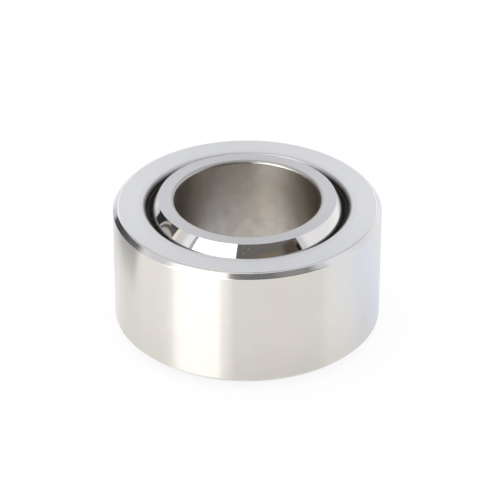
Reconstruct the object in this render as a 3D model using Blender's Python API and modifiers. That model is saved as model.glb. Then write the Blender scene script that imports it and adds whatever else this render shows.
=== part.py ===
"""A spherical plain bearing: an inner ring whose outside is a ball, running in an outer ring on a bonded liner.

All three pieces are turned about the Z axis, and the centre of the ball is the origin. The outer ring is
hollowed to a sphere that closes in above and below the ball's equator, so the inner ring can turn and tilt
but cannot leave. The liner fills the space between the two spheres apart from the running clearance.
"""

import math

import bpy

# Driving dimensions, in metres. The land is the flat between the bore and the ball on each face of the
# inner ring. The outer ring's wall is measured at the equator, where it is thinnest: it brings the outer
# diameter to 46 mm, less about a hundredth of tolerance.
BORE_DIAMETER = 0.025
FACE_LAND = 0.00275
INNER_RING_WIDTH = 0.024
OUTER_RING_WIDTH = 0.0215
OUTER_RING_WALL = 0.00311
LINER_THICKNESS = 0.00035

# Edge breaks: the bore's ends, the outer ring's outside edges and the mouths of its hollow sphere
BORE_CHAMFER = 0.0002
RIM_CHAMFER = 0.0008
MOUTH_CHAMFER = 0.00065

# Clearances on the radius, and how far the liner stops short of the mouth's chamfer
RUNNING_CLEARANCE = 0.00008
BOND_LINE = 0.00005
LINER_SETBACK = 0.0002

# Fineness of the turned surfaces
TURN_STEPS = 96
ARC_STEP = math.radians(6.0)
SHARP_EDGE = math.radians(30.0)
MERGE_DISTANCE = 0.000001

# Sizes that follow from the ones above
BORE_RADIUS = BORE_DIAMETER / 2
INNER_HALF_WIDTH = INNER_RING_WIDTH / 2
BALL_FACE_RADIUS = BORE_RADIUS + FACE_LAND
BALL_RADIUS = math.hypot(BALL_FACE_RADIUS, INNER_HALF_WIDTH)
LINER_INNER_RADIUS = BALL_RADIUS + RUNNING_CLEARANCE
LINER_OUTER_RADIUS = LINER_INNER_RADIUS + LINER_THICKNESS
HOLLOW_RADIUS = LINER_OUTER_RADIUS + BOND_LINE
OUTER_RADIUS = HOLLOW_RADIUS + OUTER_RING_WALL
OUTER_HALF_WIDTH = OUTER_RING_WIDTH / 2
HOLLOW_HALF_HEIGHT = OUTER_HALF_WIDTH - MOUTH_CHAMFER
LINER_HALF_HEIGHT = HOLLOW_HALF_HEIGHT - LINER_SETBACK


def clear_scene():
    """Removes whatever the opened file holds."""
    for old in list(bpy.data.objects):
        bpy.data.objects.remove(old, do_unlink=True)


def make_collection(name):
    """Returns a new collection in the scene."""
    collection = bpy.data.collections.new(name)
    bpy.context.scene.collection.children.link(collection)
    return collection


def make_material(name, color, roughness, metallic):
    """Returns a Principled material with one colour."""
    material = bpy.data.materials.new(name)
    material.use_nodes = True
    shader = material.node_tree.nodes["Principled BSDF"]
    shader.inputs["Base Color"].default_value = (*color, 1.0)
    shader.inputs["Roughness"].default_value = roughness
    shader.inputs["Metallic"].default_value = metallic
    return material


def sphere_arc(radius, half_height):
    """Profile points (r, z) along a sphere, from half_height above its equator to as far below it."""
    half_angle = math.asin(half_height / radius)
    steps = 2 * math.ceil(half_angle / ARC_STEP)
    angles = [half_angle - 2 * half_angle * step / steps for step in range(steps + 1)]
    return [(radius * math.cos(angle), radius * math.sin(angle)) for angle in angles]


def mirror_down(upper):
    """The same points below the equator, in the order that carries a profile on downwards."""
    return [(radius, -height) for radius, height in reversed(upper)]


def turn(name, profile, material, collection):
    """Turns a closed profile about Z. The profile runs down the outside and up the inside."""
    mesh = bpy.data.meshes.new(name)
    points = [(radius, 0.0, height) for radius, height in profile]
    edges = [(index, (index + 1) % len(points)) for index in range(len(points))]
    mesh.from_pydata(points, edges, [])
    piece = bpy.data.objects.new(name, mesh)
    collection.objects.link(piece)

    screw = piece.modifiers.new("turn", "SCREW")
    screw.axis = "Z"
    screw.angle = 2 * math.pi
    screw.steps = TURN_STEPS
    screw.render_steps = TURN_STEPS
    screw.use_merge_vertices = True
    screw.merge_threshold = MERGE_DISTANCE

    evaluated = piece.evaluated_get(bpy.context.evaluated_depsgraph_get())
    turned = bpy.data.meshes.new_from_object(evaluated)
    turned.name = name
    turned.shade_smooth()
    turned.set_sharp_from_angle(angle=SHARP_EDGE)
    turned.materials.append(material)
    piece.modifiers.clear()
    piece.data = turned
    bpy.data.meshes.remove(mesh)
    return piece


def outer_ring_profile():
    """Plain outside with a chamfer at each rim, and a hollow sphere inside with a chamfer at each mouth."""
    hollow = sphere_arc(HOLLOW_RADIUS, HOLLOW_HALF_HEIGHT)
    mouth_radius = hollow[0][0] + MOUTH_CHAMFER
    outside = [
        (mouth_radius, OUTER_HALF_WIDTH),
        (OUTER_RADIUS - RIM_CHAMFER, OUTER_HALF_WIDTH),
        (OUTER_RADIUS, OUTER_HALF_WIDTH - RIM_CHAMFER),
    ]
    return outside + mirror_down(outside) + hollow[::-1]


def liner_profile():
    """A thin spherical band with flat ends, just inside the mouths of the outer ring."""
    outside = sphere_arc(LINER_OUTER_RADIUS, LINER_HALF_HEIGHT)
    inside = sphere_arc(LINER_INNER_RADIUS, LINER_HALF_HEIGHT)
    return outside + inside[::-1]


def inner_ring_profile():
    """A ball cut off flat at both ends, with a straight bore whose ends are chamfered."""
    ball = sphere_arc(BALL_RADIUS, INNER_HALF_WIDTH)
    bore_top = [
        (BORE_RADIUS, INNER_HALF_WIDTH - BORE_CHAMFER),
        (BORE_RADIUS + BORE_CHAMFER, INNER_HALF_WIDTH),
    ]
    return ball + mirror_down(bore_top) + bore_top


def make_tilt_centre(collection):
    """The point that the inner ring tilts about: the centre of both spheres."""
    centre = bpy.data.objects.new("tilt_centre", None)
    centre.empty_display_size = BORE_RADIUS
    collection.objects.link(centre)
    return centre


def main():
    """Builds the bearing."""
    clear_scene()
    collection = make_collection("spherical_plain_bearing")

    ground_steel = make_material("ground_steel", (0.68, 0.67, 0.64), 0.30, 1.0)
    lapped_steel = make_material("lapped_steel", (0.72, 0.72, 0.72), 0.08, 1.0)
    woven_liner = make_material("woven_liner", (0.09, 0.05, 0.03), 0.75, 0.0)

    turn("outer_ring", outer_ring_profile(), ground_steel, collection)
    turn("sliding_liner", liner_profile(), woven_liner, collection)
    inner_ring = turn("inner_ring", inner_ring_profile(), lapped_steel, collection)
    inner_ring.parent = make_tilt_centre(collection)


main()
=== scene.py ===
"""The looks of a spherical plain bearing: turned, ground and lapped steel on a pale studio floor.

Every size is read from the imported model. Its three turned pieces are built again here as fine meshes with
small edge radii, and each surface gets the finish that its last machining step leaves on the real bearing.
"""

import logging
import math
from dataclasses import dataclass, replace
from enum import Enum

import bpy
from bpy.types import Node, NodeSocket, NodeTree
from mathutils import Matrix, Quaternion, Vector


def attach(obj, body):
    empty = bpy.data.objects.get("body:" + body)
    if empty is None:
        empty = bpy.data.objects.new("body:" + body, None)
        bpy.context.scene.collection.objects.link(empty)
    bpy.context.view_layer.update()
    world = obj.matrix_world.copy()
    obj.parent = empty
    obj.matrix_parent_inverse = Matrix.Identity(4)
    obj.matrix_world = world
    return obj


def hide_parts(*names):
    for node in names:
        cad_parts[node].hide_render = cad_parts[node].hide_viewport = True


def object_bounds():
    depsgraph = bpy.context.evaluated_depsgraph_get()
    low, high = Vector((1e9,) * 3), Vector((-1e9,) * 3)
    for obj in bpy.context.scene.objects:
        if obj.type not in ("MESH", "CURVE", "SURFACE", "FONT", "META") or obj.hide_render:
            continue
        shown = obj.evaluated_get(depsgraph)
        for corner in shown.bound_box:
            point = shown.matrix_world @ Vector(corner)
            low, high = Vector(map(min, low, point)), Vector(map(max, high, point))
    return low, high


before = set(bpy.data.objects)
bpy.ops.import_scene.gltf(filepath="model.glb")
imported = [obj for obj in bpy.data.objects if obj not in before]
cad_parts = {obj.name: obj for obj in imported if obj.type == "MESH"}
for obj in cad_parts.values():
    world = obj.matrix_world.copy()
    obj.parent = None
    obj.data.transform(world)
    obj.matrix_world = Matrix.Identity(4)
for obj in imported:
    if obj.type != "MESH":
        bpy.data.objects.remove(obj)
cad_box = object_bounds()

LOG = logging.getLogger("bearing_looks")

# Millimetres and micrometres in the metres of the scene
MM = 0.001
MICRON = 0.000001

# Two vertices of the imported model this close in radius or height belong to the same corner
SAME_PLACE = 2 * MICRON

# Fineness of the turned meshes: steps round the axis and round an edge, and strips of each stretch
TURN_STEPS = 384
ROUND_STEPS = 4
BALL_CUTS = 48
HOLLOW_CUTS = 28
WALL_CUTS = 8
FACE_CUTS = 3

# The node types that are used most
MATH = "ShaderNodeMath"
VECTOR_MATH = "ShaderNodeVectorMath"
MAP_RANGE = "ShaderNodeMapRange"
MIX = "ShaderNodeMix"

# Socket numbers of a Mix node that mixes colours, and of one that mixes numbers
FACTOR = 0
COLOUR_A = 6
COLOUR_B = 7
MIXED = 2
NUMBER_A = 2
NUMBER_B = 3

# How a Map Range node eases from one value to the other
SMOOTH = {"interpolation_type": "SMOOTHSTEP"}

# A noise pattern stays mostly between these two levels
NOISE_LEVELS = (0.3, 0.7)

# A quarter turn lays the blur across marks that run round the axis
ACROSS_MARKS = 0.25

# Where a panel's echo falls off, in degrees inward from its right side, and what is left of it beyond that
ECHO_FALL = (13.0, 8.5)
ECHO_END = 0.5

# The side of the camera's frame in millimetres
SENSOR = 36.0

# Red, green, blue and alpha in linear light
Colour = tuple[float, float, float, float]


class Body(Enum):
    """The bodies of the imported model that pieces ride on."""

    OUTER = "outer_ring_assembly"
    INNER = "inner_ring_body"


class Slot(Enum):
    """The record's material slots."""

    GROUND_STEEL = "ground_steel"
    LAPPED_STEEL = "lapped_steel"
    WOVEN_LINER = "woven_liner"


class Lay(Enum):
    """What the marks of a tool are spaced along: the radius of a flat face, or the height of a wall."""

    ALONG_RADIUS = "radius"
    ALONG_HEIGHT = "height"


def linear(hex_colour: str) -> Colour:
    """Turns an sRGB colour into linear light.

    Args:
        hex_colour: the colour as #RRGGBB.

    Returns:
        The colour with an alpha of 1.
    """
    shares = [int(hex_colour[place : place + 2], 16) / 255 for place in (1, 3, 5)]
    light = [c / 12.92 if c <= 0.04045 else ((c + 0.055) / 1.055) ** 2.4 for c in shares]
    return (*light, 1.0)


def grey(level: float) -> Colour:
    """A grey of a brightness in linear light."""
    return (level, level, level, 1.0)


def add_node(tree: NodeTree, kind: str, inputs: dict | None = None, **settings: object) -> Node:
    """Adds a node and connects it.

    Args:
        tree: the node tree it goes into.
        kind: the node's type name.
        inputs: socket name or number to a value, or to the output socket that feeds it.
        settings: the node's own properties.

    Returns:
        The new node.
    """
    node = tree.nodes.new(kind)
    for name, value in settings.items():
        setattr(node, name, value)
    for socket, value in (inputs or {}).items():
        if isinstance(value, NodeSocket):
            tree.links.new(value, node.inputs[socket])
        else:
            node.inputs[socket].default_value = value
    return node


@dataclass(frozen=True)
class Ramp:
    """A smooth change from one value to another, along the levels of a pattern.

    Args:
        low: the level that gives start.
        high: the level that gives end.
        start: the value at and below low.
        end: the value at and above high.
    """

    low: float
    high: float
    start: float = 0.0
    end: float = 1.0

    def along(self, source: NodeSocket) -> dict[str, NodeSocket | float]:
        """The inputs of a Map Range node that maps a source by this ramp."""
        ends = {"From Min": self.low, "From Max": self.high, "To Min": self.start, "To Max": self.end}
        return {"Value": source, **ends}


def axis_distance(tree: NodeTree, place: NodeSocket, stretch: float = 1.0) -> NodeSocket:
    """Wires how far a place is from the turning axis.

    Args:
        tree: the node tree.
        place: the place.
        stretch: how much longer the distance counts along Y than along X.

    Returns:
        The distance in metres.
    """
    flat = add_node(tree, VECTOR_MATH, {0: place, 1: (1.0, stretch, 0.0)}, operation="MULTIPLY")
    length = add_node(tree, VECTOR_MATH, {0: flat.outputs[0]}, operation="LENGTH")
    return length.outputs["Value"]


def azimuth_of(tree: NodeTree, axes: Node) -> NodeSocket:
    """Wires the azimuth of a place or a direction.

    Args:
        tree: the node tree.
        axes: the node that gives its X, Y and Z.

    Returns:
        The azimuth in degrees from the camera's side towards the right.
    """
    depth = add_node(tree, MATH, {0: axes.outputs["Y"], 1: -1.0}, operation="MULTIPLY")
    around = add_node(tree, MATH, {0: axes.outputs["X"], 1: depth.outputs[0]}, operation="ARCTAN2")
    return add_node(tree, MATH, {0: around.outputs[0]}, operation="DEGREES").outputs[0]


def tool_marks(
    tree: NodeTree, lay: Lay, pitch: float, length: float, reach: float, detail: float = 2.0
) -> NodeSocket:
    """Wires a pattern of fine marks that run round the turning axis.

    Args:
        tree: the material's node tree.
        lay: what the marks are spaced along.
        pitch: the spacing of the marks, in metres.
        length: how far one mark runs round, in metres.
        reach: the radius at which that length holds, in metres.
        detail: how many finer layers the pattern has.

    Returns:
        A socket from 0 to 1.
    """
    place = add_node(tree, "ShaderNodeTexCoord").outputs["Object"]
    flat = add_node(tree, VECTOR_MATH, {0: place, 1: (1.0, 1.0, 0.0)}, operation="MULTIPLY")
    around = add_node(tree, VECTOR_MATH, {0: flat.outputs[0]}, operation="NORMALIZE")
    drawn = add_node(tree, VECTOR_MATH, {0: around.outputs[0], "Scale": reach / length}, operation="SCALE")
    if lay is Lay.ALONG_RADIUS:
        across = axis_distance(tree, place)
    else:
        across = add_node(tree, "ShaderNodeSeparateXYZ", {0: place}).outputs["Z"]
    spaced = add_node(tree, MATH, {0: across, 1: 1 / pitch}, operation="MULTIPLY")
    row = add_node(tree, "ShaderNodeCombineXYZ", {"Z": spaced.outputs[0]})
    vector = add_node(tree, VECTOR_MATH, {0: drawn.outputs[0], 1: row.outputs[0]}, operation="ADD")
    inputs = {"Vector": vector.outputs[0], "Scale": 1.0, "Detail": detail, "Roughness": 0.6}
    return add_node(tree, "ShaderNodeTexNoise", inputs).outputs["Fac"]


def clouds(tree: NodeTree, size: float, detail: float = 3.0) -> NodeSocket:
    """Wires a soft cloudy pattern.

    Args:
        tree: the material's node tree.
        size: how large a cloud is, in metres.
        detail: how many finer layers the pattern has.

    Returns:
        A socket from 0 to 1.
    """
    place = add_node(tree, "ShaderNodeTexCoord").outputs["Object"]
    inputs = {"Vector": place, "Scale": 1 / size, "Detail": detail, "Roughness": 0.55}
    return add_node(tree, "ShaderNodeTexNoise", inputs).outputs["Fac"]


@dataclass(frozen=True)
class Finish:
    """A surface as it was made. Its pattern method wires what is not the same all over.

    Args:
        name: the finish's common name.
        colour: its colour as sRGB hex.
        roughness: its mean roughness.
    """

    name: str
    colour: str
    roughness: float

    def material(self) -> bpy.types.Material:
        """Makes the material, or returns the one that an earlier piece made.

        Returns:
            The finish's material.
        """
        known = bpy.data.materials.get(self.name)
        if known:
            return known
        material = bpy.data.materials.new(self.name)
        material.use_nodes = True
        tree = material.node_tree
        tree.nodes.clear()
        inputs = {"Base Color": linear(self.colour), "Roughness": self.roughness}
        shader = add_node(tree, "ShaderNodeBsdfPrincipled", inputs)
        add_node(tree, "ShaderNodeOutputMaterial", {"Surface": shader.outputs["BSDF"]})
        self.pattern(tree, shader)
        return material

    def pattern(self, tree: NodeTree, shader: Node) -> None:
        """Wires the finish's own pattern into its shader."""
        raise NotImplementedError

    def tone(self, tree: NodeTree, shader: Node, patterns: list[tuple[NodeSocket, Ramp]]) -> None:
        """Darkens the colour by patterns.

        Args:
            tree: the material's node tree.
            shader: the Principled node.
            patterns: each pattern with its shades, where 1 leaves the colour as it is.
        """
        shade = 1.0
        for pattern, ramp in patterns:
            mapped = add_node(tree, MAP_RANGE, ramp.along(pattern), **SMOOTH)
            shades = {0: shade, 1: mapped.outputs["Result"]}
            shade = add_node(tree, MATH, shades, operation="MULTIPLY").outputs[0]
        tint = add_node(tree, "ShaderNodeCombineXYZ", {"X": shade, "Y": shade, "Z": shade})
        mixes = {FACTOR: 1.0, COLOUR_A: linear(self.colour), COLOUR_B: tint.outputs[0]}
        mixed = add_node(tree, MIX, mixes, data_type="RGBA", blend_type="MULTIPLY")
        tree.links.new(mixed.outputs[MIXED], shader.inputs["Base Color"])

    def dull(self, tree: NodeTree, shader: Node, pattern: NodeSocket, ramp: Ramp) -> None:
        """Lets the roughness follow a pattern, by a ramp of roughness along its levels."""
        mapped = add_node(tree, MAP_RANGE, ramp.along(pattern), **SMOOTH)
        tree.links.new(mapped.outputs["Result"], shader.inputs["Roughness"])

    def brush(self, tree: NodeTree, shader: Node, anisotropy: float) -> None:
        """Makes the surface a metal that blurs reflections across marks running round the axis.

        Args:
            tree: the material's node tree.
            shader: the Principled node.
            anisotropy: how much more the marks blur across themselves than along.
        """
        shader.inputs["Metallic"].default_value = 1.0
        shader.inputs["Anisotropic"].default_value = anisotropy
        shader.inputs["Anisotropic Rotation"].default_value = ACROSS_MARKS
        tangent = add_node(tree, "ShaderNodeTangent", direction_type="RADIAL", axis="Z")
        tree.links.new(tangent.outputs["Tangent"], shader.inputs["Tangent"])

    def relief(self, tree: NodeTree, shader: Node, heights: NodeSocket, depth: float) -> None:
        """Gives the surface a relief of a depth in metres, from a pattern of heights from 0 to 1."""
        bump = add_node(tree, "ShaderNodeBump", {"Height": heights, "Strength": 1.0, "Distance": depth})
        tree.links.new(bump.outputs["Normal"], shader.inputs["Normal"])


@dataclass(frozen=True)
class CutSteel(Finish):
    """Bearing steel whose last tool left marks that run round the axis.

    The marks blur a reflection across them far more than along them, which draws the streaks of light that
    tell ground or turned steel from polished steel.

    Args:
        lay: what the marks are spaced along.
        anisotropy: how much more the marks blur across themselves than along.
        pitch: the spacing of the marks in metres.
        length: how far one mark runs round, in metres.
        reach: the radius at which that length holds, in metres.
        depth: the marks' relief in metres.
    """

    lay: Lay
    anisotropy: float
    pitch: float
    length: float
    reach: float
    depth: float

    def pattern(self, tree: NodeTree, shader: Node) -> None:
        """Wires the marks into the relief and the direction of the blur.

        Args:
            tree: the material's node tree.
            shader: the Principled node.
        """
        self.brush(tree, shader, self.anisotropy)
        marks = tool_marks(tree, self.lay, self.pitch, self.length, self.reach)
        self.relief(tree, shader, marks, self.depth)


@dataclass(frozen=True)
class GroundOutside(CutSteel):
    """Centreless-ground steel: fine lines round it, handling marks and a few short scores."""

    def pattern(self, tree: NodeTree, shader: Node) -> None:
        """Adds soft smudges, short scores and uneven lines to the grinding marks.

        Args:
            tree: the material's node tree.
            shader: the Principled node.
        """
        super().pattern(tree, shader)
        lines = tool_marks(tree, self.lay, pitch=0.35 * MM, length=9 * MM, reach=self.reach)
        scores = tool_marks(tree, self.lay, pitch=0.4 * MM, length=2.6 * MM, reach=self.reach, detail=0.0)
        smudged = (clouds(tree, size=5 * MM), Ramp(*NOISE_LEVELS, 0.975))
        scored = (scores, Ramp(0.77, 0.84, 1.0, 0.95))
        lined = (lines, Ramp(*NOISE_LEVELS, 0.985))
        self.tone(tree, shader, [smudged, scored, lined])
        self.dull(tree, shader, lines, Ramp(*NOISE_LEVELS, self.roughness * 0.94, self.roughness * 1.06))


@dataclass(frozen=True)
class TurnedFace(CutSteel):
    """Fine-turned steel face: a satin ring with faint rings of its own."""

    def pattern(self, tree: NodeTree, shader: Node) -> None:
        """Adds a soft unevenness to the turning marks.

        Args:
            tree: the material's node tree.
            shader: the Principled node.
        """
        super().pattern(tree, shader)
        rings = tool_marks(tree, self.lay, pitch=0.3 * MM, length=14 * MM, reach=self.reach)
        hazy = (clouds(tree, size=3 * MM), Ramp(*NOISE_LEVELS, 0.985))
        self.tone(tree, shader, [hazy, (rings, Ramp(*NOISE_LEVELS, 0.98))])
        self.dull(tree, shader, rings, Ramp(*NOISE_LEVELS, self.roughness * 0.92, self.roughness * 1.08))


@dataclass(frozen=True)
class PolishedEdge(Finish):
    """Steel chamfer or edge polished after turning: near a mirror, a little streaky."""

    def pattern(self, tree: NodeTree, shader: Node) -> None:
        """Lets the roughness drift along the chamfer.

        Args:
            tree: the material's node tree.
            shader: the Principled node.
        """
        shader.inputs["Metallic"].default_value = 1.0
        drift = Ramp(*NOISE_LEVELS, self.roughness * 0.85, self.roughness * 1.2)
        self.dull(tree, shader, clouds(tree, size=1.2 * MM), drift)
        self.relief(tree, shader, clouds(tree, size=0.8 * MM), depth=0.4 * MICRON)


@dataclass(frozen=True)
class LappedBall(Finish):
    """Lapped steel sphere: a true mirror, with a little dust that breaks it.

    Args:
        dust_size: the size of a speck of dust in metres, drawn coarse enough to show.
        dust_spacing: how far apart the specks are, in speck sizes.
        dust_roughness: the roughness in the middle of a speck.
    """

    dust_size: float
    dust_spacing: float = 9.0
    dust_roughness: float = 0.5

    def pattern(self, tree: NodeTree, shader: Node) -> None:
        """Makes the mirror matt where a speck lies.

        Args:
            tree: the material's node tree.
            shader: the Principled node.
        """
        shader.inputs["Metallic"].default_value = 1.0
        place = add_node(tree, "ShaderNodeTexCoord").outputs["Object"]
        scale = 1 / (self.dust_spacing * self.dust_size)
        cells = add_node(tree, "ShaderNodeTexVoronoi", {"Vector": place, "Scale": scale})
        speck = Ramp(0.05, 0.09, self.dust_roughness, self.roughness)
        self.dull(tree, shader, cells.outputs["Distance"], speck)
        self.relief(tree, shader, clouds(tree, size=2.5 * MM, detail=1.0), depth=0.3 * MICRON)


@dataclass(frozen=True)
class HonedBore(Finish):
    """Honed steel bore: dull, with stains left by oil and specks of dust.

    Args:
        anisotropy: how much more the marks blur across themselves than along.
    """

    anisotropy: float

    def pattern(self, tree: NodeTree, shader: Node) -> None:
        """Wires stains, duller patches and specks.

        Args:
            tree: the material's node tree.
            shader: the Principled node.
        """
        self.brush(tree, shader, self.anisotropy)
        self.tone(tree, shader, [(clouds(tree, size=1.6 * MM, detail=4.0), Ramp(0.35, 0.7, 0.93))])
        patches = Ramp(*NOISE_LEVELS, self.roughness * 0.9, self.roughness * 1.1)
        self.dull(tree, shader, clouds(tree, size=2.2 * MM), patches)
        self.relief(tree, shader, clouds(tree, size=0.25 * MM), depth=4 * MICRON)


@dataclass(frozen=True)
class ShadedMouth(Finish):
    """Rounded mouth of the outer ring: clean steel that turns into a dark resin film towards the gap,
    painted near black there as the gap's shade.

    Args:
        clean: the radius beyond which the steel is clean, in metres.
        covered: the radius within which the resin covers it, in metres.
        resin: the resin film's colour as sRGB hex, near black as painted shade.
        crust: the colour of the browner crumbs in it.
        stretch: how much narrower the dark film is along Y than along X.
        shine: the resin's Specular IOR Level, low because it is matt.
        resin_roughness: the resin's roughness.
    """

    clean: float
    covered: float
    resin: str
    crust: str
    stretch: float = 1.03
    shine: float = 0.25
    resin_roughness: float = 0.75

    def pattern(self, tree: NodeTree, shader: Node) -> None:
        """Wires the change from steel to the resin film that is painted dark as shade, and the crumbs.

        Args:
            tree: the material's node tree.
            shader: the Principled node.
        """
        shader.inputs["Specular IOR Level"].default_value = self.shine
        place = add_node(tree, "ShaderNodeTexCoord").outputs["Object"]
        radius = axis_distance(tree, place, self.stretch)
        noise = clouds(tree, size=1.1 * MM, detail=2.0)
        crumbs, steel = [
            add_node(tree, MAP_RANGE, ramp.along(source), **SMOOTH).outputs["Result"]
            for source, ramp in ((noise, Ramp(0.62, 0.7)), (radius, Ramp(self.covered, self.clean)))
        ]
        mixes = {FACTOR: crumbs, COLOUR_A: linear(self.resin), COLOUR_B: linear(self.crust)}
        film = add_node(tree, MIX, mixes, data_type="RGBA")
        mixes = {FACTOR: steel, COLOUR_A: film.outputs[MIXED], COLOUR_B: linear(self.colour)}
        seen = add_node(tree, MIX, mixes, data_type="RGBA")
        tree.links.new(seen.outputs[MIXED], shader.inputs["Base Color"])
        tree.links.new(steel, shader.inputs["Metallic"])
        self.dull(tree, shader, steel, Ramp(0.0, 1.0, self.resin_roughness, self.roughness))
        self.relief(tree, shader, clouds(tree, size=0.5 * MM), depth=2 * MICRON)


@dataclass(frozen=True)
class WovenCloth(Finish):
    """Resin-bonded sliding cloth: brown, matt, with the weave standing out.

    Args:
        thread: the spacing of the threads in metres.
        reach: the radius at which the threads have that spacing, in metres.
        depth: how far the threads stand out.
    """

    thread: float
    reach: float = 19.6 * MM
    depth: float = 0.06 * MM

    def pattern(self, tree: NodeTree, shader: Node) -> None:
        """Wires the weave as two sets of ridges that cross.

        Args:
            tree: the material's node tree.
            shader: the Principled node.
        """
        place = add_node(tree, "ShaderNodeTexCoord").outputs["Object"]
        axes = add_node(tree, "ShaderNodeSeparateXYZ", {0: place})
        turn = add_node(tree, MATH, {0: axes.outputs["Y"], 1: axes.outputs["X"]}, operation="ARCTAN2")
        ridges = []
        for along, scale in ((turn.outputs[0], self.reach), (axes.outputs["Z"], 1.0)):
            wave = add_node(tree, MATH, {0: along, 1: scale * math.tau / self.thread}, operation="MULTIPLY")
            wave = add_node(tree, MATH, {0: wave.outputs[0]}, operation="SINE")
            ridges.append(wave.outputs[0])
        weave = add_node(tree, MATH, {0: ridges[0], 1: ridges[1]}, operation="MULTIPLY")
        heights = add_node(tree, MAP_RANGE, Ramp(-1.0, 1.0).along(weave.outputs[0]), **SMOOTH)
        self.tone(tree, shader, [(weave.outputs[0], Ramp(-1.0, 1.0, 0.6))])
        self.relief(tree, shader, heights.outputs["Result"], self.depth)


# Real grinding and turning marks are a few hundredths of a millimetre apart, which is too fine to show, so
# they are drawn coarser, at 0.12 and 0.14 mm, and the uneven lines among them at 0.3 to 0.4 mm

# Ground steel shows upright bands of the room, sharp at their sides and blurred in height
OUTSIDE = GroundOutside(
    "ground_bearing_steel", "#D6D3CE", 0.18, lay=Lay.ALONG_HEIGHT, anisotropy=1.0,
    pitch=0.12 * MM, length=10 * MM, reach=23 * MM, depth=0.3 * MICRON,
)
# Turned faces are satin: they blur the pale backdrop into one even cool grey
RACE_FACE = TurnedFace(
    "fine_turned_steel", "#D6D7DB", 0.3, lay=Lay.ALONG_RADIUS, anisotropy=0.4,
    pitch=0.14 * MM, length=20 * MM, reach=20 * MM, depth=0.3 * MICRON,
)
# The band beside the mouth is a little sharper than the face, and painted a little darker as the shade of a
# slight curve there
SHADED_BAND = replace(RACE_FACE, name="band_steel_painted_shade", colour="#D0D0D4", roughness=0.27)
# The ball's face is darker and more blurred than the race's, so the two rings part
BALL_FACE = replace(
    RACE_FACE, name="fine_turned_hard_steel", colour="#C8C8CC", roughness=0.34, reach=14 * MM
)
# Chamfers are brighter and sharper than the faces beside them
CHAMFER = PolishedEdge("polished_steel_chamfer", "#D9D9DA", 0.14)
# Deburred edges catch a thin soft line of light
EDGE = PolishedEdge("deburred_steel_edge", "#DAD8D6", 0.2)
# The bore's worn edges are dull and blurred, so they lead from the bright face into the dark bore
BROKEN = PolishedEdge("rounded_steel_edge", "#B4B3B1", 0.32)
# The ball is the one true mirror of the bearing
BALL = LappedBall("lapped_bearing_steel", "#DDDCDB", 0.03, dust_size=0.08 * MM)
# The bore is duller and warmer, because light meets its wall several times
BORE = HonedBore("honed_steel_bore", "#A6A098", 0.36, anisotropy=0.8)
# The seat behind the liner is painted dark as shade, so nothing shines through the gap
SHADED_SEAT = HonedBore("seat_steel_painted_shade", "#4A4540", 0.5, anisotropy=0.0)
# The liner is matt and brown, so the gap mirrors nothing and looks warm and deep
LINER = WovenCloth("woven_sliding_cloth", "#261C17", 0.8, thread=0.4 * MM)
# The mouth turns from clean steel to a resin film painted near black as shade, within a millimetre
MOUTH = ShadedMouth(
    "resin_film_painted_shade", "#D0D0D4", 0.4,
    clean=18.08 * MM, covered=17.3 * MM, resin="#1D1A19", crust="#6A4434",
)


@dataclass(frozen=True)
class Leg:
    """A corner of a turned outline, and the stretch that runs from it to the next corner.

    Args:
        radius: the corner's distance from the turning axis.
        height: the corner's height.
        finish: the finish of the stretch.
        rounding: the radius of the corner's edge.
        edge: the finish of that edge.
        spherical: whether the stretch is an arc about the origin instead of a straight line.
        cuts: how many strips the stretch is made of.
    """

    radius: float
    height: float
    finish: Finish
    rounding: float = 0.05 * MM
    edge: Finish = EDGE
    spherical: bool = False
    cuts: int = 1

    @property
    def point(self) -> Vector:
        """The corner as radius and height."""
        return Vector((self.radius, self.height))

    def heading(self, onward: "Leg", at: Vector) -> Vector:
        """The direction of travel along the stretch.

        Args:
            onward: the next corner.
            at: the place on the stretch.

        Returns:
            The direction as radius and height, of length 1.
        """
        if not self.spherical:
            return (onward.point - self.point).normalized()
        spoke = at.normalized()
        downward = Vector((spoke.y, -spoke.x))
        return downward if onward.height < self.height else -downward


def outward(heading: Vector) -> Vector:
    """The outward normal beside a direction of travel, because outlines keep the metal on their right."""
    return Vector((-heading.y, heading.x))


def rounded_corner(corner: Leg, arriving: Vector, leaving: Vector) -> list[tuple[Vector, Vector]]:
    """Rounds one corner of an outline.

    Args:
        corner: the corner.
        arriving: the direction of travel into it.
        leaving: the direction of travel out of it.

    Returns:
        The points round the corner, each with its outward normal.
    """
    turn = math.atan2(arriving.x * leaving.y - arriving.y * leaving.x, arriving.dot(leaving))
    setback = corner.rounding * math.tan(abs(turn) / 2)
    bulge = -math.copysign(corner.rounding, turn)
    first = outward(arriving)
    centre = corner.point - arriving * setback - first * bulge
    found = []
    for step in range(ROUND_STEPS + 1):
        angle = turn * step / ROUND_STEPS
        cosine, sine = math.cos(angle), math.sin(angle)
        normal = Vector((first.x * cosine - first.y * sine, first.x * sine + first.y * cosine))
        found.append((centre + normal * bulge, normal))
    return found


def trace(legs: list[Leg]) -> tuple[list[Vector], list[Vector], list[Finish]]:
    """Works out the points of a closed outline.

    Args:
        legs: the corners and stretches, down the outside and up the inside.

    Returns:
        The points, their outward normals, and the finish of the strip that starts at each point.
    """
    corners = []
    for before, leg, after in zip(legs[-1:] + legs[:-1], legs, legs[1:] + legs[:1]):
        arriving, leaving = before.heading(leg, leg.point), leg.heading(after, leg.point)
        corners.append(rounded_corner(leg, arriving, leaving))
    points, normals, finishes = [], [], []
    for leg, onward, corner, ahead in zip(legs, legs[1:] + legs[:1], corners, corners[1:] + corners[:1]):
        for point, normal in corner:
            points.append(point)
            normals.append(normal)
            finishes.append(leg.edge)
        finishes[-1] = leg.finish
        start, end = corner[-1][0], ahead[0][0]
        for cut in range(1, leg.cuts):
            between = start.lerp(end, cut / leg.cuts)
            if leg.spherical:
                between = between.normalized() * leg.point.length
            points.append(between)
            normals.append(outward(leg.heading(onward, between)))
            finishes.append(leg.finish)
    return points, normals, finishes


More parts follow.
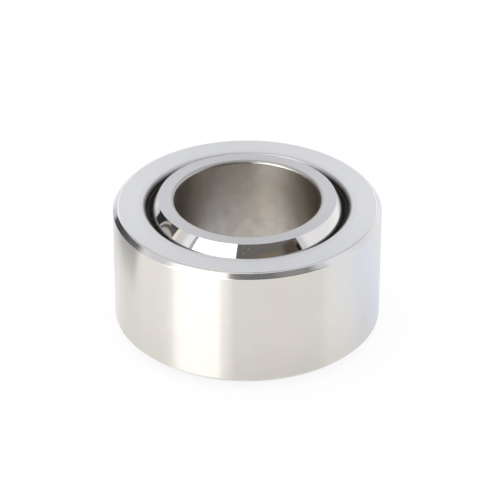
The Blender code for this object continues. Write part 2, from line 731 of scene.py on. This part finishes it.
def turned(name: str, legs: list[Leg]) -> bpy.types.Object:
    """Turns an outline about Z into a mesh with exact normals.

    Args:
        name: the piece's name.
        legs: the outline.

    Returns:
        The new object, with one material for each finish.
    """
    points, normals, finishes = trace(legs)
    count = len(points)
    angles = [math.tau * step / TURN_STEPS for step in range(TURN_STEPS)]
    turns = [(math.cos(angle), math.sin(angle)) for angle in angles]
    vertices = [(p.x * cosine, p.x * sine, p.y) for cosine, sine in turns for p in points]
    shading = [(n.x * cosine, n.x * sine, n.y) for cosine, sine in turns for n in normals]
    faces = []
    for step in range(TURN_STEPS):
        here, there = step * count, (step + 1) % TURN_STEPS * count
        for low in range(count):
            high = (low + 1) % count
            faces.append((here + low, here + high, there + high, there + low))
    mesh = bpy.data.meshes.new(name)
    mesh.from_pydata(vertices, [], faces)
    kinds = list(dict.fromkeys(finishes))
    for kind in kinds:
        mesh.materials.append(kind.material())
    mesh.polygons.foreach_set("material_index", [kinds.index(f) for f in finishes] * TURN_STEPS)
    mesh.shade_smooth()
    mesh.normals_split_custom_set_from_vertices(shading)
    mesh.update()
    piece = bpy.data.objects.new(name, mesh)
    bpy.context.scene.collection.objects.link(piece)
    LOG.info("%s: %d faces, finishes %s", name, len(faces), ", ".join(kind.name for kind in kinds))
    return piece


class CadOutline:
    """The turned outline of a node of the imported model, as the radii and heights of its vertices."""

    def __init__(self, node: str) -> None:
        """Reads the node's vertices.

        Args:
            node: the node's name.
        """
        places = [vertex.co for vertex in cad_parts[node].data.vertices]
        self.corners = [(math.hypot(place.x, place.y), place.z) for place in places]
        self.top: float = max(z for _, z in self.corners)
        self.widest: float = max(r for r, _ in self.corners)
        self.narrowest: float = min(r for r, _ in self.corners)

    def radii_at(self, height: float) -> list[float]:
        """The radii of the corners at a height, smallest first."""
        return sorted(radius for radius, z in self.corners if abs(z - height) < SAME_PLACE)

    def heights_at(self, radius: float) -> list[float]:
        """The heights of the corners at a radius, lowest first."""
        return sorted(z for r, z in self.corners if abs(r - radius) < SAME_PLACE)


def mirrored(upper: list[Leg], finishes: list[Finish]) -> list[Leg]:
    """Makes the corners below the equator that answer those above.

    Args:
        upper: the corners above, in order of travel.
        finishes: the finish of each stretch below.

    Returns:
        The corners below, in order of travel.
    """
    pairs = zip(reversed(upper), finishes)
    return [replace(leg, height=-leg.height, finish=finish, cuts=1) for leg, finish in pairs]


@dataclass(frozen=True)
class OuterRingAssembly:
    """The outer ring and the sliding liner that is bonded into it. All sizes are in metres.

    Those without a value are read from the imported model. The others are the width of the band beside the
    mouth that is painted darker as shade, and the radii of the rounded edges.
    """

    radius: float
    half_width: float
    rim_chamfer: float
    mouth_face_radius: float
    mouth_radius: float
    mouth_height: float
    liner_outer_radius: float
    liner_inner_radius: float
    liner_height: float
    shaded_band_width: float = 0.95 * MM
    mouth_rounding: float = 0.45 * MM
    hollow_rounding: float = 0.4 * MM
    face_rounding: float = 0.5 * MM
    outside_rounding: float = 0.2 * MM
    liner_rounding: float = 0.04 * MM

    @classmethod
    def from_frame(cls) -> "OuterRingAssembly":
        """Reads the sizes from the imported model.

        Returns:
            The ring with its sizes.
        """
        ring, liner = CadOutline("outer_ring"), CadOutline("sliding_liner")
        face = ring.radii_at(ring.top)
        liner_at_equator = liner.radii_at(0.0)
        return cls(
            radius=ring.widest,
            half_width=ring.top,
            rim_chamfer=ring.widest - face[-1],
            mouth_face_radius=face[0],
            mouth_radius=ring.narrowest,
            mouth_height=ring.heights_at(ring.narrowest)[-1],
            liner_outer_radius=liner_at_equator[-1],
            liner_inner_radius=liner_at_equator[0],
            liner_height=liner.top,
        )

    def ring_outline(self) -> list[Leg]:
        """The outer ring's outline. Each mouth is rounded over, with a band beside it that is painted darker
        as shade.

        Returns:
            The corners and stretches, down the outside and up the inside.
        """
        band = self.mouth_face_radius + self.shaded_band_width
        face_edge = self.radius - self.rim_chamfer
        rim = self.half_width - self.rim_chamfer
        upper = [
            Leg(self.mouth_face_radius, self.half_width, SHADED_BAND, self.mouth_rounding, MOUTH),
            Leg(band, self.half_width, RACE_FACE, edge=RACE_FACE, cuts=FACE_CUTS),
            Leg(face_edge, self.half_width, CHAMFER, self.face_rounding, CHAMFER),
            Leg(self.radius, rim, OUTSIDE, self.outside_rounding, CHAMFER, cuts=WALL_CUTS),
        ]
        lower = mirrored(upper, [CHAMFER, RACE_FACE, SHADED_BAND, MOUTH])
        # The hollow behind the liner takes the seat's finish, which is painted dark as shade
        bottom = Leg(self.mouth_radius, -self.mouth_height, SHADED_SEAT, self.hollow_rounding, MOUTH)
        hollow = [
            replace(bottom, spherical=True, cuts=HOLLOW_CUTS),
            replace(bottom, height=self.mouth_height, finish=MOUTH),
        ]
        return upper + lower + hollow

    def liner_outline(self) -> list[Leg]:
        """The liner's outline: two spheres with flat ends.

        Returns:
            The corners and stretches, down the outside and up the inside.
        """
        outer = math.sqrt(self.liner_outer_radius**2 - self.liner_height**2)
        inner = math.sqrt(self.liner_inner_radius**2 - self.liner_height**2)
        corner = Leg(outer, self.liner_height, LINER, self.liner_rounding, LINER)
        return [
            replace(corner, spherical=True, cuts=HOLLOW_CUTS),
            replace(corner, height=-self.liner_height),
            replace(corner, radius=inner, height=-self.liner_height, spherical=True, cuts=HOLLOW_CUTS),
            replace(corner, radius=inner),
        ]

    def build(self) -> None:
        """Makes both pieces and lets them stand for their nodes."""
        ring = turned("outer_ring_ground", self.ring_outline())
        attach(ring, Body.OUTER.value)
        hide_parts("outer_ring")
        liner = turned("sliding_liner_woven", self.liner_outline())
        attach(liner, Body.OUTER.value)
        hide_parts("sliding_liner")


@dataclass(frozen=True)
class InnerRing:
    """The inner ring, a bored ball cut off flat at both ends. All sizes are in metres.

    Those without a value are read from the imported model. The rounding is that of the ball's edges, and the
    softening is the radius of the bore's rounded edges, in widths of the model's chamfer there.
    """

    ball_radius: float
    half_width: float
    bore_radius: float
    bore_face_radius: float
    edge_rounding: float = 0.06 * MM
    softening: float = 2.8

    @classmethod
    def from_frame(cls) -> "InnerRing":
        """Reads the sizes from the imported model.

        Returns:
            The ring with its sizes.
        """
        ring = CadOutline("inner_ring")
        return cls(
            ball_radius=ring.widest,
            half_width=ring.top,
            bore_radius=ring.narrowest,
            bore_face_radius=ring.radii_at(ring.top)[0],
        )

    def outline(self) -> list[Leg]:
        """The ring's outline: ball, faces, and a bore whose ends are rounded over.

        Returns:
            The corners and stretches, down the outside and up the inside.
        """
        face_radius = math.sqrt(self.ball_radius**2 - self.half_width**2)
        soft = self.softening * (self.bore_face_radius - self.bore_radius)
        rim = Leg(face_radius, self.half_width, BALL, self.edge_rounding)
        return [
            replace(rim, spherical=True, cuts=BALL_CUTS),
            replace(rim, height=-self.half_width, finish=BALL_FACE, cuts=FACE_CUTS),
            Leg(self.bore_radius, -self.half_width, BORE, soft, BROKEN, cuts=WALL_CUTS),
            Leg(self.bore_radius, self.half_width, BALL_FACE, soft, BROKEN, cuts=FACE_CUTS),
        ]

    def build(self) -> None:
        """Makes the piece and lets it stand for its node."""
        ring = turned("inner_ring_lapped", self.outline())
        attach(ring, Body.INNER.value)
        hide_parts("inner_ring")


@dataclass(frozen=True)
class Panel:
    """A part of the studio as the bearing sees it: a wall, a softbox or a dark card.

    Args:
        azimuth: where it begins and ends, in degrees from the camera's side towards the right.
        elevation: where it begins and ends above the horizon, in degrees.
        low: its colour at the lower end, as sRGB hex.
        strength: its brightness, where 1 is white.
        blur: the width of its soft edges in degrees, at the sides and at the ends.
        high: its colour at the upper end, where that is another.
        echo: how many times brighter it is in a reflection of a reflection, but for its right end, which
            is dimmer there. It is fitted to the photograph and isn't how a lamp behaves.
    """

    azimuth: tuple[float, float]
    elevation: tuple[float, float]
    low: str
    strength: float = 1.0
    blur: tuple[float, float] = (3.0, 3.0)
    high: str = ""
    echo: float = 1.0


@dataclass(frozen=True)
class Disc:
    """A round thing in the studio as the bearing sees it.

    Args:
        centre: the azimuth and elevation of its centre, in degrees.
        radius: its radius in degrees.
        colour: its colour as sRGB hex.
        blur: the width of its soft edge in degrees.
    """

    centre: tuple[float, float]
    radius: float
    colour: str
    blur: float = 1.5


@dataclass(frozen=True)
class Studio:
    """The pale studio round the bearing: walls, softbox, floor and camera.

    Lengths are in metres and angles in radians, but the lens is in millimetres, for a frame of SENSOR.

    Args:
        walls: what shiny surfaces mirror, from the back to the front.
        even_light: how bright the light is on surfaces that don't mirror.
        floor_size: the side of the floor.
        floor_glow: how bright the floor is in the bearing's reflections.
        floor_white: how bright it is for the camera.
        floor_matt: the share of light that it gives back, seen straight and mirrored.
        floor_shine: the share that it mirrors, seen in the bearing.
        shine_roughness: how blurred that is.
        elevation: how far up the camera looks from.
        distance: how far it is from the ball's centre.
        roll: how far it is turned about its line of sight.
        lens: its focal length.
        origin_pixel: where the ball's centre lies in the photograph.
        photo_side: the photograph's side in pixels.
        photo_centre: the middle of that side.
    """

    walls: tuple[Panel | Disc, ...] = (
        Panel((-200, 200), (26, 40), "#FFFFFF", 1.04, (0, 0), high="#E9EAEE"),
        # The ceiling is dim, and the backdrop that the flat faces mirror falls off with its height
        Panel((-220, 220), (68, 96), "#8E8E90", 1, (0, 8), high="#77777A"),
        Panel((-220, -120), (-30, 20), "#DCDCDE", 1, (20, 4), high="#E4E4E6"),
        Panel((120, 220), (-30, 20), "#DCDCDE", 1, (20, 4), high="#E4E4E6"),
        Panel((-220, -140), (14, 30), "#FFFFFF", 1.31, (40, 4)),
        Panel((140, 220), (14, 30), "#FFFFFF", 1.31, (40, 4)),
        Panel((-220, -140), (26.5, 46), "#FFFFFF", 1.31, (40, 2), high="#828283"),
        Panel((140, 220), (26.5, 46), "#FFFFFF", 1.31, (40, 2), high="#828283"),
        Panel((170, 220), (43, 75), "#7E7E7E", 1, (14, 3), high="#8E8E90"),
        # The pale wall on the right, dimmer where it meets the dark room
        Panel((62, 150), (-20, 50), "#FCFBFC", 1.04, (3, 5), high="#FFFFFF"),
        Panel((105, 150), (-10, 50), "#FFFFFF", 1.16, (24, 5), high="#DCDCDF"),
        Panel((58, 73), (-20, 50), "#E6E5E7", 1, (8, 5)),
        # The dark corner on the far left, with a round lamp shade in front of it
        Panel((-139, -104), (4, 33), "#3B3B3D", high="#7A7878"),
        Panel((-129.5, -108), (-6, 13), "#333335", 1, (2.5, 2.5)),
        Disc((-97, -1.8), 22.3, "#C2BAB7", 1.2),
        Panel((-106, -93), (16.5, 25), "#56565A", 1, (4, 2)),
        Disc((-97, -1.8), 20.4, "#66635E", 1.2),
        Disc((-98.5, -2.5), 17.6, "#C6BEB8", 2),
        # The pale wall on the left, which begins at a cream post and brightens towards the softbox
        Panel((-94, -66), (-20, 50), "#E9E7E5", 1, (2, 5), high="#ECEAE8"),
        Panel((-94, -90), (-4, 30), "#FFF5E6", 1.08, (2, 3)),
        Panel((-79, -66), (-20, 52), "#FFFFFF", 1.08, (8, 5)),
        # The softbox to the left of the camera, the pale edge of its frame, and its light on the ceiling
        Panel((-70, -12), (-20, 64), "#BEC4CB", 1, (1.5, 3)),
        Panel((-80, -16), (54, 96), "#FFF8EA", 1.3, (8, 6)),
        Panel((-181, -60), (45, 96), "#D8D6D2", 1.15, (0.5, 6), high="#FFF8EA"),
        Panel((-76, -60), (41, 61), "#FFFDF7", 1.5, high="#FFFFFF"),
        Panel((-65.8, -12.5), (-20, 57.5), "#FFFDF7", 2.4, (1.5, 3), "#FFFFFF", echo=1.9),
        # The softbox has a brighter part low down, which is meant for the bore's blurred walls
        Panel((-67, -17), (-20, 13), "#FFFFFF", 5.4, (3, 4)),
        # The dim room behind the camera and to its right
        Panel((-13.6, 66), (-4, 66), "#6E6863", 1, (2, 6), high="#7A7774"),
        Panel((-21.6, 66), (50, 70), "#7A7774", 1, (4.5, 5), high="#8A8B90"),
        Panel((63, 77), (36, 43), "#3A3632", 1, (4, 3), high="#5A5754"),
        Panel((32, 66), (44, 66), "#A19E9B", 1, (24, 8), high="#A6A4A2"),
        Panel((14, 40), (20, 33.5), "#908273", 1, (10, 4), high="#857868"),
        Panel((45, 62), (10, 36), "#5A5047", 1, (8, 5), high="#5C534A"),
        Panel((61, 65), (12, 30), "#26201E", 1, (1.5, 4)),
    )
    even_light: float = 1.02
    floor_size: float = 1.6
    floor_glow: float = 0.66
    floor_white: float = 0.85
    floor_matt: tuple[float, float] = (0.17, 0.45)
    floor_shine: float = 0.13
    shine_roughness: float = 0.12
    elevation: float = math.radians(31.829)
    distance: float = 0.4714
    roll: float = math.radians(0.144)
    lens: float = 196.3
    origin_pixel: tuple[float, float] = (246.73, 256.91)
    photo_side: float = 500.0
    photo_centre: float = 249.5

    def build_world(self) -> None:
        """Lights the scene evenly, and shows the studio to shiny surfaces and white to the camera."""
        world = bpy.data.worlds.new("studio")
        bpy.context.scene.world = world
        world.use_nodes = True
        world.cycles.sampling_method = "NONE"
        tree = world.node_tree
        tree.nodes.clear()
        towards = add_node(tree, "ShaderNodeTexCoord").outputs["Generated"]
        axes = add_node(tree, "ShaderNodeSeparateXYZ", {0: towards})
        azimuth = azimuth_of(tree, axes)
        above = add_node(tree, MATH, {0: axes.outputs["Z"]}, operation="ARCSINE")
        elevation = add_node(tree, MATH, {0: above.outputs[0]}, operation="DEGREES").outputs[0]
        path = add_node(tree, "ShaderNodeLightPath")
        seen = grey(1.0)
        view = {"azimuth": azimuth, "elevation": elevation, "depth": path.outputs["Glossy Depth"]}
        for wall in self.walls:
            seen = self.paint(tree, wall, view, seen)
        shown = grey(self.even_light)
        for ray, colour in (("Is Glossy Ray", seen), ("Is Camera Ray", grey(1.0))):
            mixes = {FACTOR: path.outputs[ray], COLOUR_A: shown, COLOUR_B: colour}
            shown = add_node(tree, MIX, mixes, data_type="RGBA").outputs[MIXED]
        light = add_node(tree, "ShaderNodeBackground", {"Color": shown})
        add_node(tree, "ShaderNodeOutputWorld", {"Surface": light.outputs["Background"]})

    def paint(
        self, tree: NodeTree, wall: Panel | Disc, view: dict[str, NodeSocket], behind: NodeSocket | Colour
    ) -> NodeSocket:
        """Puts one panel in front of what is seen so far.

        Args:
            tree: the world's node tree.
            wall: the panel.
            view: the azimuth and elevation in degrees, and how often the ray was mirrored (depth).
            behind: what is seen so far.

        Returns:
            What is seen with the panel.
        """
        if isinstance(wall, Disc):
            place = add_node(tree, "ShaderNodeCombineXYZ", {"X": view["azimuth"], "Y": view["elevation"]})
            places = {0: place.outputs[0], 1: (*wall.centre, 0.0)}
            gap = add_node(tree, VECTOR_MATH, places, operation="DISTANCE")
            edge = Ramp(wall.radius - wall.blur / 2, wall.radius + wall.blur / 2, 1.0, 0.0)
            mask = add_node(tree, MAP_RANGE, edge.along(gap.outputs["Value"]), **SMOOTH)
            cover = mask.outputs["Result"]
            front = linear(wall.colour)
        else:
            front = self.panel_colour(tree, wall, view)
            # A panel without soft edges fills the whole view
            if wall.blur == (0.0, 0.0):
                return front
            cover = 1.0
            for name, blur in zip(("azimuth", "elevation"), wall.blur):
                ends = getattr(wall, name)
                for end, first, last in ((ends[0], 0.0, 1.0), (ends[1], 1.0, 0.0)):
                    edge = Ramp(end - blur / 2, end + blur / 2, first, last)
                    mask = add_node(tree, MAP_RANGE, edge.along(view[name]), **SMOOTH)
                    masks = {0: cover, 1: mask.outputs["Result"]}
                    cover = add_node(tree, MATH, masks, operation="MULTIPLY").outputs[0]
        mixes = {FACTOR: cover, COLOUR_A: behind, COLOUR_B: front}
        return add_node(tree, MIX, mixes, data_type="RGBA").outputs[MIXED]

    def panel_colour(self, tree: NodeTree, wall: Panel, view: dict[str, NodeSocket]) -> NodeSocket:
        """Wires the colour of a panel.

        Args:
            tree: the world's node tree.
            wall: the panel.
            view: the same as for paint.

        Returns:
            The colour.
        """
        low, high = [
            (*(channel * wall.strength for channel in linear(colour)[:3]), 1.0)
            for colour in (wall.low, wall.high or wall.low)
        ]
        height = add_node(tree, MAP_RANGE, Ramp(*wall.elevation).along(view["elevation"]), **SMOOTH)
        mixes = {FACTOR: height.outputs["Result"], COLOUR_A: low, COLOUR_B: high}
        colour = add_node(tree, MIX, mixes, data_type="RGBA").outputs[MIXED]
        if wall.echo == 1.0:
            return colour
        fall = [wall.azimuth[1] - inward for inward in ECHO_FALL]
        again, change = [
            add_node(tree, MAP_RANGE, ramp.along(source), **SMOOTH).outputs["Result"]
            for source, ramp in (
                (view["depth"], Ramp(1.0, 2.0)),
                (view["azimuth"], Ramp(*fall, wall.echo - 1.0, ECHO_END - 1.0)),
            )
        ]
        boost = add_node(tree, MATH, {0: again, 1: change, 2: 1.0}, operation="MULTIPLY_ADD").outputs[0]
        return add_node(tree, VECTOR_MATH, {0: colour, "Scale": boost}, operation="SCALE").outputs[0]

    def build_floor(self) -> None:
        """Lays a plain pale floor under the bearing, which keeps a soft shadow."""
        half = self.floor_size / 2
        height = cad_box[0].z - 5 * MICRON
        mesh = bpy.data.meshes.new("floor")
        corners = [(x * half, y * half, height) for x, y in ((-1, -1), (1, -1), (1, 1), (-1, 1))]
        mesh.from_pydata(corners, [], [(0, 1, 2, 3)])
        floor = bpy.data.objects.new("floor", mesh)
        bpy.context.scene.collection.objects.link(floor)
        # Plain matt card: white to the camera, and a soft pale light under the bearing
        material = bpy.data.materials.new("pale_floor")
        material.use_nodes = True
        tree = material.node_tree
        tree.nodes.clear()
        rays = add_node(tree, "ShaderNodeLightPath").outputs
        mirrored_by, watched = rays["Is Glossy Ray"], rays["Is Camera Ray"]
        straight, mirrored_share = (grey(share) for share in self.floor_matt)
        mixes = {FACTOR: mirrored_by, COLOUR_A: straight, COLOUR_B: mirrored_share}
        matt = add_node(tree, MIX, mixes, data_type="RGBA").outputs[MIXED]
        # In the bearing's reflections the floor glows with painted light and shade
        mixes = {FACTOR: mirrored_by, COLOUR_A: grey(self.floor_white), COLOUR_B: self.floor_painted_light(tree)}
        glow = add_node(tree, MIX, mixes, data_type="RGBA").outputs[MIXED]
        shown = add_node(tree, MATH, {0: mirrored_by, 1: watched}, operation="ADD")
        diffuse = add_node(tree, "ShaderNodeBsdfDiffuse", {"Color": matt})
        glowing = add_node(tree, "ShaderNodeEmission", {"Color": glow, "Strength": shown.outputs[0]})
        share = add_node(tree, MATH, {0: mirrored_by, 1: self.floor_shine}, operation="MULTIPLY").outputs[0]
        tint = add_node(tree, "ShaderNodeCombineXYZ", {"X": share, "Y": share, "Z": share})
        inputs = {"Color": tint.outputs[0], "Roughness": self.shine_roughness}
        sheen = add_node(tree, "ShaderNodeBsdfAnisotropic", inputs)
        lit = diffuse.outputs[0]
        for shader in (glowing, sheen):
            lit = add_node(tree, "ShaderNodeAddShader", {0: lit, 1: shader.outputs[0]}).outputs[0]
        # From below the card is clear, so that it hides nothing
        clear = add_node(tree, "ShaderNodeBsdfTransparent")
        side = add_node(tree, "ShaderNodeNewGeometry")
        shaders = {0: side.outputs["Backfacing"], 1: lit, 2: clear.outputs[0]}
        sides = add_node(tree, "ShaderNodeMixShader", shaders)
        add_node(tree, "ShaderNodeOutputMaterial", {"Surface": sides.outputs[0]})
        mesh.materials.append(material)

    def floor_painted_light(self, tree: NodeTree) -> NodeSocket:
        """Wires the floor's glow as the bearing mirrors it: warm in front, cool on the right.

        Its tints are painted colours of light, with painted grey shade at the far left and right. It has a
        painted shadow close to the bearing, a painted pool of light inside the bore, and a painted dark
        patch on the table behind the bearing's left, which stands in for something dark there. Angles are
        azimuths in degrees.

        Args:
            tree: the floor's node tree.

        Returns:
            The glow's colour.
        """
        place = add_node(tree, "ShaderNodeTexCoord").outputs["Object"]
        axes = add_node(tree, "ShaderNodeSeparateXYZ", {0: place})
        azimuth, radius = azimuth_of(tree, axes), axis_distance(tree, place)
        # A warm painted tint of light, then painted cool light on the right, a plainer white on the left,
        # and painted grey shade at the far left and right
        colour = linear("#F4F3F0")
        for ramp, tint in (
            (Ramp(42, 100), "#DAE6FF"),
            (Ramp(-118, -85, 1, 0), "#F4F4F3"),
            (Ramp(-122, -105, 1, 0), "#D6D7DC"),
            (Ramp(106, 126), "#D6D7DC"),
        ):
            mask = add_node(tree, MAP_RANGE, ramp.along(azimuth), **SMOOTH).outputs["Result"]
            mixes = {FACTOR: mask, COLOUR_A: colour, COLOUR_B: linear(tint)}
            colour = add_node(tree, MIX, mixes, data_type="RGBA").outputs[MIXED]
        # The painted shadow close to the bearing and where it ends, the painted light in the bore from left
        # to right and towards its wall, where that ends, and the painted dark patch by radius and between
        # two azimuths
        shade, far, slant, edge, outside, painted_dark_patch, *sides = [
            add_node(tree, MAP_RANGE, ramp.along(source), **SMOOTH).outputs["Result"]
            for source, ramp in (
                (azimuth, Ramp(-45, -15, 0.9, 0.86)),
                (radius, Ramp(23 * MM, 42 * MM)),
                (axes.outputs["X"], Ramp(-12 * MM, 2 * MM, 5, 3)),
                (radius, Ramp(9 * MM, 14 * MM, 1.0, 0.4)),
                (radius, Ramp(14 * MM, 16 * MM)),
                (radius, Ramp(40 * MM, 49 * MM)),
                (azimuth, Ramp(-134, -103)),
                (azimuth, Ramp(-91, -82, 1, 0)),
            )
        ]
        painted_bore_light = add_node(tree, MATH, {0: slant, 1: edge}, operation="MULTIPLY").outputs[0]
        mixes = {FACTOR: far, NUMBER_A: shade, NUMBER_B: 1.0}
        around = add_node(tree, MIX, mixes, data_type="FLOAT").outputs[0]
        mixes = {FACTOR: outside, NUMBER_A: painted_bore_light, NUMBER_B: around}
        scale = add_node(tree, MIX, mixes, data_type="FLOAT").outputs[0]
        for side in sides:
            painted_dark_patch = add_node(tree, MATH, {0: painted_dark_patch, 1: side}, operation="MULTIPLY").outputs[0]
        clear = add_node(tree, MATH, {0: 1.0, 1: painted_dark_patch}, operation="SUBTRACT").outputs[0]
        for share in (clear, self.floor_glow):
            scale = add_node(tree, MATH, {0: scale, 1: share}, operation="MULTIPLY").outputs[0]
        return add_node(tree, VECTOR_MATH, {0: colour, "Scale": scale}, operation="SCALE").outputs[0]

    def build_camera(self) -> None:
        """Stands the camera where the photograph was taken from."""
        data = bpy.data.cameras.new("camera")
        data.sensor_width = SENSOR
        data.lens = self.lens
        data.shift_x = (self.photo_centre - self.origin_pixel[0]) / self.photo_side
        data.shift_y = (self.origin_pixel[1] - self.photo_centre) / self.photo_side
        data.clip_start = 0.01
        data.clip_end = 10.0
        camera = bpy.data.objects.new("camera", data)
        bpy.context.scene.collection.objects.link(camera)
        back = Vector((0.0, -math.cos(self.elevation), math.sin(self.elevation)))
        camera.location = back * self.distance
        camera.rotation_mode = "QUATERNION"
        level = (-back).to_track_quat("-Z", "Y")
        camera.rotation_quaternion = level @ Quaternion((0.0, 0.0, 1.0), self.roll)
        bpy.context.scene.camera = camera

    def build(self) -> None:
        """Makes the world, the floor and the camera."""
        self.build_world()
        self.build_floor()
        self.build_camera()
        bpy.context.scene.view_settings.view_transform = "Standard"


def main() -> None:
    """Builds the bearing and its studio."""
    logging.basicConfig(level=logging.INFO, format="%(message)s")
    Studio().build()
    OuterRingAssembly.from_frame().build()
    InnerRing.from_frame().build()


if __name__ == "__main__":
    main()
